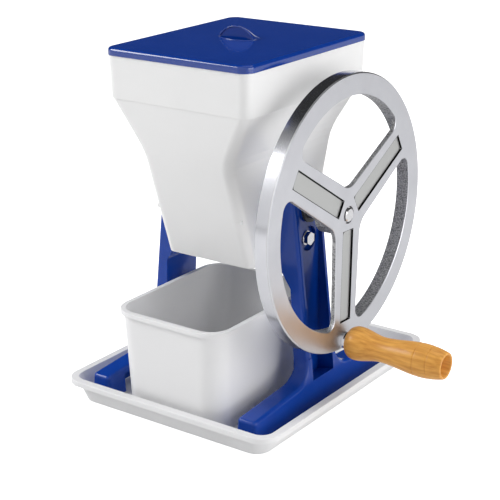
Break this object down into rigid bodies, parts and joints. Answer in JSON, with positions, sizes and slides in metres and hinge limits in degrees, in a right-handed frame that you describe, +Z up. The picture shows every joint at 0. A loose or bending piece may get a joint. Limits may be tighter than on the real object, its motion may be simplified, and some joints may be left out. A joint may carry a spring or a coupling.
{
  "type": "ice shaver with crank",
  "caption": "Hand-cranked ice breaker: square hopper with lid between two cast stands, spoked flywheel with wooden crank grip, bin and drip tray below",
  "frame": {"origin": "centre of the drip tray's underside, on the table", "axes": "+X towards the flywheel and crank, -Y the front, +Z up; the crank turns about X"},
  "size_m": [0.4045, 0.337, 0.4135],
  "materials": {
    "white_plastic": "moulded, slightly glossy",
    "lid_plastic": "moulded, glossy deep blue",
    "stand_paint": "glossy blue enamel over cast metal",
    "polished_casting": "turned and polished rim, cast inner faces",
    "bright_steel": "bright plated",
    "shaft_steel": "ground",
    "blade_steel": "stainless",
    "bronze": "turned bronze",
    "black_nylon": "turned bearing plastic",
    "black_rubber": "moulded rubber",
    "turned_wood": "varnished, turned"
  },
  "bodies": {
    "machine": {"tray": "white_plastic", "stand_left": "stand_paint", "stand_right": "stand_paint", "hopper": "white_plastic", "foot_pads": "black_rubber", "bush_left": "black_nylon", "bush_right": "black_nylon", "shaft_seals": "black_rubber", "stand_bolts": "bright_steel", "stand_bolt_washers": "bright_steel", "stand_nuts": "bright_steel", "backing_plates": "blade_steel", "comb_front": "blade_steel", "comb_rear": "blade_steel", "comb_screws": "bright_steel"},
    "crank": {"flywheel": "polished_casting", "drive_shaft": "shaft_steel", "disc_spacers": "blade_steel", "thrust_washers": "bronze", "hub_spacer": "shaft_steel", "shaft_collar": "shaft_steel", "collar_screw": "bright_steel", "wheel_key": "shaft_steel", "hub_bolt": "bright_steel", "hub_washer": "bright_steel", "crank_pin": "bright_steel", "crank_pin_nut": "bright_steel", "grip_washer": "bright_steel", "grip_nut": "bright_steel", "breaker_disc_1": "blade_steel", "breaker_disc_2": "blade_steel", "breaker_disc_3": "blade_steel", "breaker_disc_4": "blade_steel", "breaker_disc_5": "blade_steel", "breaker_disc_6": "blade_steel"},
    "grip": {"handle_grip": "turned_wood"},
    "lid": {"lid": "lid_plastic"},
    "bin": {"ice_bin": "white_plastic"}
  },
  "joints": [
    {"name": "crank_spin", "type": "hinge", "parent": "machine", "child": "crank", "pos_m": [0, -0.017, 0.229], "axis": [1, 0, 0], "continuous": true},
    {"name": "grip_spin", "type": "hinge", "parent": "crank", "child": "grip", "pos_m": [0.18, -0.02154, 0.08857], "axis": [1, 0, 0], "continuous": true},
    {"name": "lid_lift", "type": "slide", "parent": "machine", "child": "lid", "axis": [0, 0, 1], "range_m": [0, 0.06]},
    {"name": "bin_lift", "type": "slide", "parent": "machine", "child": "bin", "axis": [0, 0, 1], "range_m": [0, 0.032]}
  ]
}
